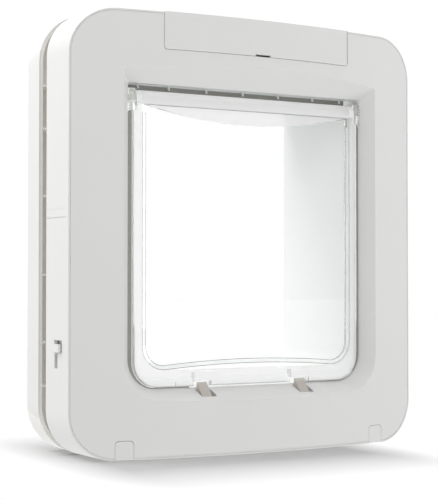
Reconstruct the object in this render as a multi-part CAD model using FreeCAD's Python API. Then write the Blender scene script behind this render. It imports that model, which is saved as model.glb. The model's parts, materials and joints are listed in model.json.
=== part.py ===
"""Cat flap that clamps on both sides of a door panel, with a clear flap that hangs in its tunnel.

Frame: millimetres, X to the right along the face, Y away from the viewer, Z up. The object stands on its
flat underside. Inside this script Y = 0 is the plane through the two upright side edges of the face, and
every solid is moved by `frame_shift` when it is written, so that the origin is the middle of the footprint.
"""
import FreeCAD, Part
import math
import os

from FreeCAD import Vector

os.makedirs("parts", exist_ok=True)

# Front housing
face_width = 262.0
face_height = 283.0
face_corner_r = 29.3
face_bulge = 16.5
side_depth = 32.3
draft = 0.04
wall = 2.5
edge_groove_in = 0.9
edge_groove_wide = 0.5
edge_groove_deep = 0.5

# Opening in the face, with its sloping surround
band_side = 41.1
band_top = 44.5
band_bottom = 42.3
opening_y = 2.0
opening_low_r = 20.0
slope_side = 0.72
slope_top = 0.745
slope_bottom = 0.413
slope_corner = 0.35
surround_wall = 3.0

# Tunnel
passage_step = 0.5
passage_rise = 0.9
passage_high_r = 3.0
tunnel_wall = 2.4
tunnel_end = 100.0
tunnel_flange = 3.6
tunnel_flange_t = 2.2

# Rear frame
panel_gap = 10.2
rear_depth = 23.8
rear_lip_outset = 2.35
rear_back_outset = 1.3
rear_wall = 2.6
rear_collar = 2.2
rear_rib_t = 1.4
rear_rib_setback = 0.6
rear_rib_heights = (25.5, 69.0, 97.0)
rear_rib_x = 48.0
rear_round = 2.4
rear_round_share = 0.3

# Clearances
seam = 0.25
seat_gap = 0.15
running = 0.06
pin_hold = 0.02
thread_gap = 0.05
bore_gap = 0.2
touch = 0.1
overrun = 1.0

# Battery compartment
cover_half = 70.3
cover_high = 23.8
cover_back = 14.0
cover_t = 2.2
cover_proud = 0.4
cover_corner_r = 2.0
notch_half = 5.8
notch_high = 1.1
notch_deep = 3.0
tab_inner = 40.0
tab_outer = 52.0
tab_long = 4.0
tab_t = 1.6
tab_web = 2.0
cell_r = 7.25
cell_len = 50.5
cell_nub_r = 2.75
cell_nub = 1.4
cell_gap = 0.6
cell_row_pitch = 15.5
cell_lift = 0.2
tray_rise = 0.8
tray_t = 1.6
tray_margin = 0.4
tray_side_high = 9.0
tray_front_high = 2.0
saddle_t = 2.0
saddle_high = 3.0
contact_t = 0.4
contact_wide = 9.0
contact_dome = 2.4
contact_room = 1.4

# Fixing screws, through the panel
screw_r = 2.0
screw_head_r = 3.8
screw_head_t = 2.4
screw_socket = 2.6
screw_socket_deep = 1.4
low_fix_side = 34.95
low_fix_z = 6.8
high_fix_side = 4.8
high_fix_drop = 9.5
boss_half = 4.6
screw_seat_y = 0.0
plug_half = 5.85
plug_top = 12.0
plug_corner_r = 2.5
plug_back = -3.0

# Back plate and its screws
plate_t = 2.5
plate_boss_half = 3.8
plate_screw_r = 1.3
plate_screw_head_r = 2.6
plate_screw_head_t = 1.6
plate_screw_sink = 0.2
plate_screw_len = 9.0
plate_fix_side = 19.0
standoff_half = 2.0

# Flap and hinge
hinge_y = 7.0
hinge_drop = 7.9
barrel_r = 2.6
block_wide = 4.9
block_y = 3.5
block_low = 4.5
block_high = 3.5
barrel_end_gap = 0.4
pin_r = 1.5
pin_in_barrel = 6.0
pin_end_gap = 0.3
flap_side_gap = 3.5
flap_low_gap = 1.2
flap_low_r = 16.5
flap_high_r = 1.0
flap_t = 3.0
bar_drop = 6.7
bar_lap = 3.0
shoulder_drop = 3.8
window_rim = 8.55
window_step = 2.65
window_low_rim = 13.7
window_rise = 2.9
window_low_r = 13.0
window_front = 0.83
window_back = 2.3
crescent_drop = 9.4
crescent_end = 3.35
crescent_front = 0.45
crescent_land = 0.6
bead_high = 5.6
bead_t = 1.2
hood_inner = 29.0
hood_wide = 15.6
hood_low = 3.2
hood_high = 8.8
hood_t = 4.4
hood_wall = 1.2
pad_wide = 12.5
pad_high = 3.0
pad_t = 2.7

# Pile strips
pile_gap = 0.5
pile_y = 2.4
pile_deep = 2.6
pile_from = 45.0
pile_drop = 11.5
pile_head_y = 12.7
pile_head_deep = 2.3
pile_head_rise = 1.5
pile_lip = 0.8
clip_pitch = 28.0
clip_end = 5.5
clip_wide = 1.0
clip_deep = 1.2
clip_rise = 4.7
clip_front = 2.0
clip_lean = 2.0

# Latches that rise into the flap
latch_inner = 33.9
latch_wide = 7.1
latch_back = -0.4
latch_tip = 2.4
latch_tip_land = 0.5
latch_front = -8.9
latch_sunk = 0.5
latch_foot = 3.0
latch_lift = 3.0
slot_near = 0.6
slot_far = 3.4
slot_front = 0.5
bar_depth = 15.3
bar_t = 4.0
bar_front = -6.5
bar_back = -0.5
bar_half = 56.0
guide_x = 52.0
guide_half = 1.6
guide_below = 4.0
cam_below = 8.0
cam_base_r = 4.2
cam_t = 4.0
cam_shaft_r = 1.0
cam_shaft_len = 5.0
follower_gap = 0.3
follower_wide = 1.0
follower_long = 3.0
gearbox_x = 3.5
gearbox_long = 8.0
gearbox_high = 12.0
motor_r = 6.0
motor_long = 15.0
cradle_t = 2.5
cradle_wide = 14.0

# Reader and electronics
coil_y = 12.0
coil_deep = 8.0
coil_t = 2.8
board_side = 19.0
board_end = 5.7
board_drop = 14.2
board_high = 22.5
board_t = 1.6
board_gap = 3.7
board_hole_in = 4.0
chip_side = 12.0
chip_t = 1.4
crystal_long = 5.0
crystal_high = 4.0
crystal_t = 3.0
socket_wide = 6.0
socket_high = 15.0
socket_t = 5.0
part_pitch = 4.0
switch_size = 6.0
switch_t = 3.5
button_side = 9.7
button_rise = 3.5
button_half = 2.5
button_y = 2.0
button_long = 6.0
button_stem_half = 1.4
button_travel = 1.0
guide_plate_t = 2.0

# Side lock slider
lock_y0 = 8.9
lock_y1 = 20.3
lock_top = 74.9
lock_mid = 66.9
lock_slot_y0 = 15.2
lock_slot_y1 = 19.6
lock_slot_low = 57.2
lock_knob_low = 67.4
lock_knob_high = 72.4
lock_knob_y0 = 9.7
lock_knob_proud = 1.55
lock_knob_gap = 0.2
lock_plate_t = 1.8
lock_plate_margin = 3.0
lock_travel = 10.0
side_seam_z = 151.9
side_step = 5.0
side_seam_wide = 0.7
side_seam_deep = 0.45
side_seam_y0 = 3.1
side_seam_back = 2.0

# Derived
half_w = face_width / 2.0
face_r = (half_w ** 2 + face_bulge ** 2) / (2.0 * face_bulge)
opening_half = half_w - band_side
opening_bottom = band_bottom
opening_top = face_height - band_top
passage_half = opening_half - passage_step
passage_bottom = opening_bottom + passage_step
passage_top = opening_top + passage_rise
passage_low_r = opening_low_r - passage_step
cover_bottom = face_height - cover_high
tray_floor = cover_bottom + tray_rise
tray_end = cell_gap / 2.0 + cell_len + contact_room
tray_outside = tray_end + tray_t
tray_deep = cell_row_pitch + 2.0 * (cell_r + tray_margin + tray_t)
low_fix_x = half_w - low_fix_side
high_fix_x = cover_half - high_fix_side
high_fix_z = face_height - high_fix_drop
plate_fix_x = half_w - plate_fix_side
plate_fix_z = (opening_bottom + opening_top) / 2.0
hinge_z = passage_top - hinge_drop
barrel_half = passage_half - touch - block_wide - barrel_end_gap
flap_half = passage_half - flap_side_gap
flap_bottom = passage_bottom + flap_low_gap
bar_bottom = hinge_z - bar_drop
flap_shoulder_z = bar_bottom - shoulder_drop
window_half = flap_half - window_rim
window_low = flap_bottom + window_low_rim
hood_outer = hood_inner + hood_wide
latch_outer = latch_inner + latch_wide
latch_y = (bar_front + bar_back) / 2.0
bar_low = opening_bottom - bar_depth
cam_z = bar_low - cam_below
board_left = -half_w + board_side
board_right = -tray_outside - board_end
board_low = cover_bottom - board_drop
button_x = -tray_outside - button_side
button_z = tray_floor + button_rise
plate_front = side_depth - plate_t
board_y = plate_front - board_gap - board_t
cover_inside = face_r - face_bulge - math.sqrt(face_r ** 2 - tray_outside ** 2) + cover_t
tray_front = (cover_inside + plate_front - tray_deep) / 2.0
cell_row_front = tray_front + tray_t + tray_margin + cell_r
lip_y = side_depth + panel_gap
rear_y = lip_y + rear_depth
cover_front = -face_bulge - cover_proud
frame_shift = Vector(0.0, -(cover_front + tunnel_end) / 2.0, 0.0)
big = 2.0 * (face_width + face_height)
X_AXIS = Vector(1, 0, 0)
Y_AXIS = Vector(0, 1, 0)


def box(x0, x1, y0, y1, z0, z1):
    """Axis-aligned box from its limits."""
    return Part.makeBox(x1 - x0, y1 - y0, z1 - z0, Vector(x0, y0, z0))


def rod(radius, start, end):
    """Round bar between two points."""
    run = end - start
    return Part.makeCylinder(radius, run.Length, start, run)


def bar_y(radius, x, z, y0, y1):
    """Round bar that runs front to back."""
    return rod(radius, Vector(x, y0, z), Vector(x, y1, z))


def bar_x(radius, y, z, x0, x1):
    """Round bar that runs across."""
    return rod(radius, Vector(x0, y, z), Vector(x1, y, z))


def outline(x0, x1, z0, z1, y, radii):
    """Edges of an upright rounded rectangle; radii go lower left, lower right, upper right, upper left."""
    low_left, low_right, high_right, high_left = radii
    corners = (
        (x0 + low_left, z0 + low_left, low_left, 180.0),
        (x1 - low_right, z0 + low_right, low_right, 270.0),
        (x1 - high_right, z1 - high_right, high_right, 0.0),
        (x0 + high_left, z1 - high_left, high_left, 90.0),
    )
    turns = []
    for cx, cz, radius, start in corners:
        spots = []
        for turn in (0.0, 45.0, 90.0):
            angle = math.radians(start + turn)
            spots.append(Vector(cx + radius * math.cos(angle), y, cz + radius * math.sin(angle)))
        turns.append((radius, spots))
    edges = []
    for index, (radius, spots) in enumerate(turns):
        if radius > 0.0:
            edges.append(Part.Arc(*spots).toShape())
        following = turns[(index + 1) % len(turns)][1]
        edges.append(Part.makeLine(spots[2], following[0]))
    return edges


def band(near, far):
    """Face between two edges: flat, a cone about one axis, a slanting bend of one radius, or ruled."""
    start, end = near.firstVertex(True).Point, near.lastVertex(True).Point
    far_start, far_end = far.firstVertex(True).Point, far.lastVertex(True).Point
    if near.Curve.TypeId == "Part::GeomLine":
        return Part.Face(Part.makePolygon([start, end, far_end, far_start, start]))
    offset = far.Curve.Center - near.Curve.Center
    if math.hypot(offset.x, offset.z) < 1e-7:
        return Part.makeLine(start, far_start).revolve(near.Curve.Center, -Y_AXIS, 90.0)
    if abs(far.Curve.Radius - near.Curve.Radius) < 1e-7:
        return near.extrude(offset)
    return Part.makeRuledSurface(near, far)


def loft(*sections):
    """Straight-sided solid through two or more outlines that have the same number of edges."""
    faces = [Part.Face(Part.Wire(sections[0])), Part.Face(Part.Wire(sections[-1]))]
    for near, far in zip(sections, sections[1:]):
        faces.extend(band(*pair) for pair in zip(near, far))
    shell = Part.makeShell(faces)
    shell.sewShape()
    solid = Part.makeSolid(shell)
    if solid.Volume < 0.0:
        solid.reverse()
    return solid


def prism(x0, x1, z0, z1, y0, y1, radii):
    """Rounded rectangle seen from the front, with depth from y0 to y1."""
    face = Part.Face(Part.Wire(outline(x0, x1, z0, z1, y0, radii)))
    return face.extrude(Vector(0, y1 - y0, 0))


def polygon_x(points, x0, x1):
    """Prism along X from points given as (y, z)."""
    spots = [Vector(x0, y, z) for y, z in points]
    face = Part.Face(Part.makePolygon(spots + spots[:1]))
    return face.extrude(Vector(x1 - x0, 0, 0))


def housing_section(y, inset=0.0):
    """Section of the front housing at y, with sharp corners: drafted sides and top, flat underside."""
    side = half_w + draft * y - inset
    top = face_height + draft * (y + face_bulge / 2.0) - inset
    return outline(-side, side, inset, top, y, (0.0,) * 4)


def drum(inset):
    """Upright cylinder that the bulged face belongs to."""
    return Part.makeCylinder(face_r - inset, big, Vector(0, face_r - face_bulge, -face_height / 2.0))


def housing_block(inset, back, front=-face_bulge - wall):
    """Solid inside the drafted sides, with its long corners rounded; it starts ahead of the face."""
    block = loft(housing_section(front, inset), housing_section(back, inset))
    corners = [edge for edge in block.Edges if abs(edge.tangentAt(edge.FirstParameter).y) > 0.5]
    return block.makeFillet(face_corner_r - inset, corners)


def housing_body(inset, back):
    """Solid under the bulged face and inside the drafted sides, down to the plane at back."""
    return housing_block(inset, back).common(drum(inset))


def surround(outset, y_back):
    """Tapered space of the opening; with an outset, the outside of the wall around it."""
    front = -face_bulge - wall
    sections = []
    for y in (front, y_back):
        reach = opening_y - y
        side = opening_half + slope_side * reach + outset
        low = opening_bottom - slope_bottom * reach - outset
        high = opening_top + slope_top * reach + outset
        low_r = opening_low_r + slope_corner * reach + outset
        sections.append(outline(-side, side, low, high, y, (low_r, low_r, 0.0, 0.0)))
    return loft(*sections)


def post(half, x, z, y0, y1):
    """Square post that runs front to back."""
    return box(x - half, x + half, y0, y1, z - half, z + half)


def sill_z(y):
    """Height of the sill of the surround."""
    return opening_bottom - slope_bottom * (opening_y - y)


def tunnel_section(outset, y0, y1):
    """Solid with the tunnel's section, grown by an outset."""
    low_r = passage_low_r + outset
    high_r = passage_high_r + outset
    side = passage_half + outset
    radii = (low_r, low_r, high_r, high_r)
    return prism(-side, side, passage_bottom - outset, passage_top + outset, y0, y1, radii)


def plate_fixings():
    """Places of the screws that hold the back plate, as (x, z)."""
    return [(side * plate_fix_x, plate_fix_z) for side in (-1.0, 1.0)]


def panel_fixings():
    """Places of the long screws through the panel, as (x, z)."""
    spots = []
    for side in (-1.0, 1.0):
        spots.append((side * low_fix_x, low_fix_z))
        spots.append((side * high_fix_x, high_fix_z))
    return spots


def latch_slot(side):
    """Slot in the sill that one latch comes up through."""
    x0 = latch_inner - slot_near
    x1 = latch_outer + slot_far
    if side < 0:
        x0 = -latch_outer - slot_near
        x1 = -latch_inner + slot_far
    low = bar_low - guide_below
    return box(x0, x1, latch_front - slot_front, opening_y - slot_front, low, opening_bottom + overrun)


def lock_window():
    """Window and slot in the left side for the lock slider."""
    x0 = -half_w - 2.0 * wall
    x1 = -half_w + 2.0 * wall
    wide = box(x0, x1, lock_y0, lock_y1, lock_mid, lock_top)
    narrow = box(x0, x1, lock_slot_y0, lock_slot_y1, lock_slot_low, lock_top)
    return wide.fuse(narrow)


def side_seams():
    """Two fine lines across the left side, where the moulding tool opens."""
    side = half_w + draft * side_depth
    grooves = []
    for z, deep in ((side_seam_z, side_seam_deep), (side_seam_z + side_step, side_seam_deep / 3.0)):
        groove = box(-side - overrun, -half_w + wall, side_seam_y0, side_depth - side_seam_back,
                     z - side_seam_wide / 2.0, z + side_seam_wide / 2.0)
        grooves.append(groove.cut(housing_block(deep, side_depth)))
    return grooves


def edge_groove():
    """Fine groove just inside the edge of the face."""
    outer = housing_block(edge_groove_in, side_depth / 2.0)
    inner = housing_block(edge_groove_in + edge_groove_wide, side_depth)
    return outer.cut(inner).cut(drum(edge_groove_deep))


def fixing_posts(inside):
    """Posts, seats and ribs that carry the long screws."""
    back = plate_front - seat_gap
    posts = []
    for side in (-1.0, 1.0):
        x = side * low_fix_x
        reach = plug_half + wall
        seat = box(x - reach, x + reach, -face_bulge, screw_seat_y + wall, 0.0, plug_top + wall)
        posts.append(seat.common(housing_body(0.0, side_depth)))
        posts.append(post(boss_half, x, low_fix_z, screw_seat_y, back).common(inside))
        x = side * high_fix_x
        rib = box(x - wall / 2.0, x + wall / 2.0, cover_back + wall, back, high_fix_z, face_height)
        posts.append(post(boss_half, x, high_fix_z, screw_seat_y, back))
        posts.append(rib.common(inside))
    return posts


def front_housing():
    outer = housing_body(0.0, side_depth)
    cavity = housing_body(wall, side_depth + overrun)
    skin = surround(surround_wall, opening_y)
    shell = outer.cut(cavity.cut(skin))

    inside = housing_body(wall / 2.0, plate_front - seat_gap)
    additions = fixing_posts(inside)
    for x, z in plate_fixings():
        additions.append(post(plate_boss_half, x, z, -face_bulge, plate_front - seat_gap).common(inside))
    for x in (-guide_x, guide_x):
        additions.append(box(x - guide_half, x + guide_half, latch_y - guide_half, latch_y + guide_half,
                             bar_low - guide_below, sill_z(latch_y) - surround_wall / 2.0))
    can_start = gearbox_x + gearbox_long
    for x in (can_start + cradle_t, can_start + motor_long - 2.0 * cradle_t):
        rib = box(x, x + cradle_t, latch_y - cradle_wide / 2.0, latch_y + cradle_wide / 2.0, wall / 2.0, cam_z)
        hollow = bar_x(motor_r + seat_gap, latch_y, cam_z, x - overrun, x + cradle_t + overrun)
        additions.append(rib.cut(hollow))
    shell = shell.fuse(additions)

    cuts = [surround(0.0, opening_y + wall / 4.0), edge_groove()]
    half = cover_half + seam
    mouth = prism(-half, half, cover_bottom - seam, face_height + side_depth, -face_bulge - wall,
                  cover_back + seam, (cover_corner_r, cover_corner_r, 0.0, 0.0))
    posts = [post(boss_half, side * high_fix_x, high_fix_z, screw_seat_y, side_depth) for side in (-1.0, 1.0)]
    cuts.append(mouth.cut(posts))
    for side in (-1.0, 1.0):
        x = side * low_fix_x
        half = plug_half + seam
        cuts.append(prism(x - half, x + half, -plug_top, plug_top + seam, -face_bulge - wall, screw_seat_y,
                          (0.0, 0.0, plug_corner_r, plug_corner_r)))
        cuts.append(latch_slot(side))
    for x, z in panel_fixings():
        cuts.append(bar_y(screw_r + bore_gap, x, z, -face_bulge, side_depth))
    for x, z in plate_fixings():
        cuts.append(bar_y(plate_screw_r, x, z, side_depth - plate_screw_len, side_depth))
    cuts.append(lock_window())
    cuts.extend(side_seams())
    return shell.cut(cuts).removeSplitter()


def battery_cover():
    outer = housing_body(-cover_proud, cover_back)
    inner = housing_body(cover_t, side_depth)
    region = prism(-cover_half, cover_half, cover_bottom, face_height + side_depth, -face_bulge - wall, cover_back,
                   (cover_corner_r, cover_corner_r, 0.0, 0.0))
    shell = outer.common(region).cut(inner)
    tabs = []
    high = face_height - wall - 2.0 * seam
    for side in (-1.0, 1.0):
        x0, x1 = sorted((side * tab_inner, side * tab_outer))
        tabs.append(box(x0, x1, cover_back - tab_long, cover_back + tab_long, high - tab_t, high))
        x_mid = (x0 + x1) / 2.0
        tabs.append(box(x_mid - tab_web / 2.0, x_mid + tab_web / 2.0, cover_back - tab_long,
                        cover_back - 2.0 * seam, high - tab_t, face_height))
    notch = box(-notch_half, notch_half, cover_front - overrun, -face_bulge + notch_deep, cover_bottom - overrun,
                cover_bottom + notch_high)
    return shell.fuse(tabs).cut(notch).removeSplitter()


def back_plate():
    y0 = plate_front
    y1 = side_depth
    block = housing_block(wall + seam, y1, y0)
    hole = tunnel_section(tunnel_wall + seam, y0 - overrun, y1 + overrun)
    standoffs = []
    z = board_low + board_hole_in
    for x in (board_left + board_hole_in, board_right - board_hole_in):
        standoffs.append(post(standoff_half, x, z, board_y + board_t, y0 + touch))
    bores = []
    for x, z in panel_fixings():
        bores.append(bar_y(screw_r + bore_gap, x, z, y0 - overrun, y1 + overrun))
    for x, z in plate_fixings():
        bores.append(bar_y(plate_screw_r + seam, x, z, y0 - overrun, y1 + overrun))
        bores.append(screw_cone(x, z, seam))
    return block.cut(hole).fuse(standoffs).cut(bores).removeSplitter()


def screw_cone(x, z, gap):
    """Countersunk head of a plate screw, or its seat when a gap is given."""
    start = Vector(x, side_depth - plate_screw_sink - plate_screw_head_t, z)
    shank_r = plate_screw_r - thread_gap
    return Part.makeCone(shank_r + gap, plate_screw_head_r + gap, plate_screw_head_t + gap, start, Y_AXIS)


def plate_screw(x, z):
    head = screw_cone(x, z, 0.0)
    shank_end = side_depth - plate_screw_sink - plate_screw_head_t
    shank = bar_y(plate_screw_r - thread_gap, x, z, side_depth - plate_screw_len + overrun, shank_end)
    return head.fuse(shank).removeSplitter()


def panel_screw(x, z):
    """Long screw with a hexagon socket in its head."""
    head_y = screw_seat_y
    shank = bar_y(screw_r, x, z, head_y, rear_y - 2.0 * rear_wall)
    head = bar_y(screw_head_r, x, z, head_y - screw_head_t, head_y)
    corners = []
    for turn in range(7):
        angle = math.radians(60.0 * turn)
        corners.append(Vector(x + screw_socket * math.cos(angle), head_y - screw_head_t,
                              z + screw_socket * math.sin(angle)))
    socket = Part.Face(Part.makePolygon(corners)).extrude(Vector(0, screw_socket_deep, 0))
    return shank.fuse(head).cut(socket)


def screw_cover(side):
    x = side * low_fix_x
    plug = prism(x - plug_half, x + plug_half, seam, plug_top, -face_bulge - wall, plug_back,
                 (0.0, 0.0, plug_corner_r, plug_corner_r))
    return plug.common(housing_body(0.0, side_depth))


def clip_places():
    """Places of the clips along the top pile strip: an even row, and one near each end."""
    last = barrel_half - clip_end
    places = {0.0, last, -last}
    step = clip_pitch
    while step < last - clip_pitch / 2.0:
        places.update((step, -step))
        step += clip_pitch
    return sorted(places)


def pile_clip(x):
    """Slanting finger under the ceiling that holds the top pile strip back."""
    low = hinge_z + clip_rise
    high = passage_top + tunnel_wall / 2.0
    front = hinge_y + clip_front
    lean = clip_lean
    points = ((front, low), (front + clip_deep, low), (front + clip_deep + lean, high), (front + lean, high))
    return polygon_x(points, x - clip_wide / 2.0, x + clip_wide / 2.0)


def tunnel():
    """Tube through the panel, with ledges that rest against the back plate."""
    y0 = opening_y + seam
    outer = tunnel_section(tunnel_wall, y0, tunnel_end)
    ledge_y = plate_front - seam
    high = passage_top - passage_low_r
    low = passage_bottom + passage_low_r
    inner_x = passage_half + tunnel_wall / 2.0
    outer_x = passage_half + tunnel_wall + tunnel_flange
    under = passage_bottom - tunnel_wall - tunnel_flange
    flat = passage_half - passage_low_r
    ledges = [
        box(-outer_x, -inner_x, ledge_y - tunnel_flange_t, ledge_y, low, high),
        box(inner_x, outer_x, ledge_y - tunnel_flange_t, ledge_y, low, high),
        box(-flat, flat, ledge_y - tunnel_flange_t, ledge_y, under, passage_bottom - tunnel_wall / 2.0),
    ]
    inner = tunnel_section(0.0, y0 - overrun, tunnel_end + overrun)
    lip = box(-barrel_half, barrel_half, pile_head_y, pile_head_y + pile_head_deep, passage_top - pile_lip,
              passage_top + tunnel_wall / 2.0)
    holders = [lip] + [pile_clip(x) for x in clip_places()]
    return outer.fuse(ledges).cut(inner).fuse(holders).removeSplitter()


def rear_section(y, inset=0.0):
    """Outline of the rear frame, which narrows a little as far as the rounded edge of its outer face."""
    share = (min(y, rear_y - rear_round) - lip_y) / rear_depth
    grow = rear_lip_outset + (rear_back_outset - rear_lip_outset) * share - inset
    side = half_w + grow
    radius = face_corner_r + rear_lip_outset - inset
    return outline(-side, side, inset, face_height + grow, y, (radius,) * 4)


def rear_ribs():
    """Everything that stands in the tray of the rear frame: collar, ribs and screw posts."""
    front = lip_y + rear_rib_setback
    back = rear_y - rear_wall
    middle = face_height / 2.0
    kept = [tunnel_section(tunnel_wall + seam + rear_collar, lip_y + rear_rib_setback, rear_y)]
    for offset in rear_rib_heights:
        for z in (middle - offset, middle + offset):
            kept.append(box(-half_w, half_w, front, back, z - rear_rib_t / 2.0, z + rear_rib_t / 2.0))
    for x in (-rear_rib_x, rear_rib_x):
        kept.append(box(x - rear_rib_t / 2.0, x + rear_rib_t / 2.0, front, back, wall / 2.0,
                        face_height - wall / 2.0))
    for x, z in panel_fixings():
        kept.append(post(boss_half, x, z, front, back))
        end = wall / 2.0 if z < middle else face_height - wall / 2.0
        kept.append(box(x - rear_rib_t / 2.0, x + rear_rib_t / 2.0, front, back, min(z, end), max(z, end)))
    return kept


def rear_frame():
    shoulder = rear_y - rear_round
    edge = rear_y - rear_round_share * rear_round
    block = loft(
        rear_section(lip_y),
        rear_section(shoulder),
        rear_section(edge, rear_round_share * rear_round),
        rear_section(rear_y, rear_round),
    )
    floor_y = rear_y - rear_wall
    hollow = loft(rear_section(lip_y - overrun, rear_wall), rear_section(floor_y, rear_wall))
    kept = rear_ribs()
    passage = tunnel_section(tunnel_wall + seam, lip_y - overrun, rear_y + overrun)
    bores = [bar_y(screw_r + thread_gap, x, z, lip_y - overrun, floor_y) for x, z in panel_fixings()]
    frame = block.cut(hollow.cut(kept[0].fuse(kept[1:])))
    return frame.cut([passage] + bores).removeSplitter()


def window_outline(grow, y):
    """Window of the flap: sagging upper edge, upright sides, round lower corners and arched lower edge."""
    half = window_half + grow
    low = window_low - grow
    low_r = window_low_r + grow
    middle_z = bar_bottom - crescent_drop
    turn = math.sqrt(0.5) * low_r
    left_top = Vector(-half, y, bar_bottom)
    right_top = Vector(half, y, bar_bottom)
    left_side = Vector(-half, y, low + low_r)
    left_mid = Vector(-half + low_r - turn, y, low + low_r - turn)
    left_foot = Vector(-half + low_r, y, low)
    right_side = Vector(half, y, low + low_r)
    right_mid = Vector(half - low_r + turn, y, low + low_r - turn)
    right_foot = Vector(half - low_r, y, low)
    return [
        Part.Arc(right_top, Vector(0, y, middle_z), left_top).toShape(),
        Part.makeLine(left_top, left_side),
        Part.Arc(left_side, left_mid, left_foot).toShape(),
        Part.Arc(left_foot, Vector(0, y, low + window_rise), right_foot).toShape(),
        Part.Arc(right_foot, right_mid, right_side).toShape(),
        Part.makeLine(right_side, right_top),
    ]


def window_cuts():
    """Recess of the window on the front and back of the flap, and of the crescent above it."""
    front = window_outline(window_step, 0.0)
    deep = window_outline(0.0, window_front)
    recess = loft(front, deep)
    back = Part.Face(Part.Wire(window_outline(0.0, window_back))).extrude(Vector(0, flap_t - window_back, 0))
    half = window_half - crescent_end
    low = bar_bottom - crescent_drop + crescent_land
    ends = (Vector(-half, 0, bar_bottom), Vector(half, 0, bar_bottom))
    arc = Part.Arc(ends[0], Vector(0, 0, low), ends[1]).toShape()
    crescent = Part.Face(Part.Wire([arc, Part.makeLine(ends[1], ends[0])]))
    return [recess, back, crescent.extrude(Vector(0, crescent_front, 0))]


def flap():
    low_radii = (flap_low_r, flap_low_r, flap_high_r, flap_high_r)
    plate = prism(-flap_half, flap_half, flap_bottom, flap_shoulder_z, 0.0, flap_t, low_radii)
    half = barrel_half - touch
    pieces = [box(-half, half, 0.0, flap_t, flap_shoulder_z - bar_lap, bar_bottom + bar_lap)]
    pieces.append(polygon_x([
        (0.0, bar_bottom),
        (0.0, hinge_z - barrel_r / 2.0),
        (flap_t / 2.0, hinge_z + barrel_r / 2.0),
        (hinge_y / 2.0, hinge_z + barrel_r),
        (hinge_y, hinge_z + barrel_r),
        (hinge_y, hinge_z - barrel_r),
        (flap_t, hinge_z - barrel_r - flap_t / 2.0),
        (flap_t, bar_bottom),
    ], -barrel_half, barrel_half))
    pieces.append(bar_x(barrel_r, hinge_y, hinge_z, -barrel_half, barrel_half))
    bead_top = flap_bottom + bead_high
    bead = prism(-flap_half, flap_half, flap_bottom, bead_top + flap_low_r, -bead_t, 0.0, low_radii)
    pieces.append(bead.common(box(-half_w, half_w, -bead_t, 0.0, flap_bottom, bead_top)))
    for side in (-1.0, 1.0):
        x0, x1 = sorted((side * hood_inner, side * hood_outer))
        pieces.append(box(x0, x1, -hood_t, 0.0, flap_bottom + hood_low, flap_bottom + hood_high))
        x0, x1 = sorted((side * hood_outer, side * (hood_outer + pad_wide)))
        pieces.append(box(x0, x1, -pad_t, 0.0, flap_bottom, flap_bottom + pad_high))
    body = plate.fuse(pieces)

    cuts = window_cuts()
    for side in (-1.0, 1.0):
        x0, x1 = sorted((side * (hood_inner + hood_wall), side * (hood_outer - hood_wall)))
        cuts.append(box(x0, x1, -hood_t + hood_wall, 0.0, flap_bottom - overrun, flap_bottom + hood_high - hood_wall))
        cuts.append(box(x0, x1, -hood_t - overrun, flap_t + overrun, flap_bottom - overrun, flap_bottom + hood_low))
        end = side * barrel_half
        cuts.append(bar_x(pin_r + running, hinge_y, hinge_z, end - side * pin_in_barrel, end + side * overrun))
    for cut in cuts:
        body = body.cut(cut)
    return body.removeSplitter()


def hinge_block(side):
    x0, x1 = sorted((side * (passage_half - touch - block_wide), side * (passage_half - touch)))
    block = box(x0, x1, hinge_y - block_y, hinge_y + block_y, hinge_z - block_low, hinge_z + block_high)
    return block.cut(bar_x(pin_r + pin_hold, hinge_y, hinge_z, x0 - overrun, x1 + overrun))


def hinge_pin(side):
    start = side * (barrel_half - pin_in_barrel + pin_end_gap)
    end = side * (passage_half - 2.0 * touch)
    return bar_x(pin_r, hinge_y, hinge_z, start, end)


def pile_strip(side):
    """Brush strip down one side of the flap and round its lower corner."""
    outer_side = passage_half - touch
    outer_low = passage_bottom + touch
    outer_r = passage_low_r - touch
    inner_side = flap_half + pile_gap
    inner_low = flap_bottom - pile_gap
    inner_r = flap_low_r + pile_gap
    top = hinge_z - pile_drop
    outer = prism(-outer_side, outer_side, outer_low, top, pile_y, pile_y + pile_deep, (outer_r, outer_r, 0.0, 0.0))
    inner = prism(-inner_side, inner_side, inner_low, top + wall, pile_y, pile_y + pile_deep,
                  (inner_r, inner_r, 0.0, 0.0))
    x0, x1 = sorted((side * pile_from, side * half_w))
    return outer.cut(inner).common(box(x0, x1, 0.0, side_depth, 0.0, face_height))


def pile_head():
    """Brush strip under the ceiling, behind the top of the flap."""
    return box(-barrel_half, barrel_half, pile_head_y, pile_head_y + pile_head_deep, hinge_z + pile_head_rise,
               passage_top - pile_lip - touch)


def latch(side):
    """Ramped tongue that stands up through the sill."""
    x0, x1 = sorted((side * latch_inner, side * latch_outer))
    top = bar_low + bar_t
    tip = flap_bottom + latch_tip
    nose = sill_z(latch_front) - latch_sunk
    points = [
        (latch_back, top),
        (latch_back, tip),
        (latch_back - latch_tip_land, tip),
        (latch_front, nose),
        (latch_front, nose - latch_foot),
        (bar_front, top),
    ]
    return polygon_x(points, x0, x1)


def latch_bar():
    bar = box(-bar_half, bar_half, bar_front, bar_back, bar_low, bar_low + bar_t)
    tip = cam_z + cam_base_r + follower_gap
    follower = box(-follower_long / 2.0, follower_long / 2.0, latch_y - follower_wide / 2.0,
                   latch_y + follower_wide / 2.0, tip, bar_low + touch)
    bores = []
    half = guide_half + running
    for x in (-guide_x, guide_x):
        bores.append(box(x - half, x + half, latch_y - half, latch_y + half, bar_low - overrun,
                         bar_low + bar_t + overrun))
    return bar.fuse(follower).cut(bores).removeSplitter()


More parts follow.
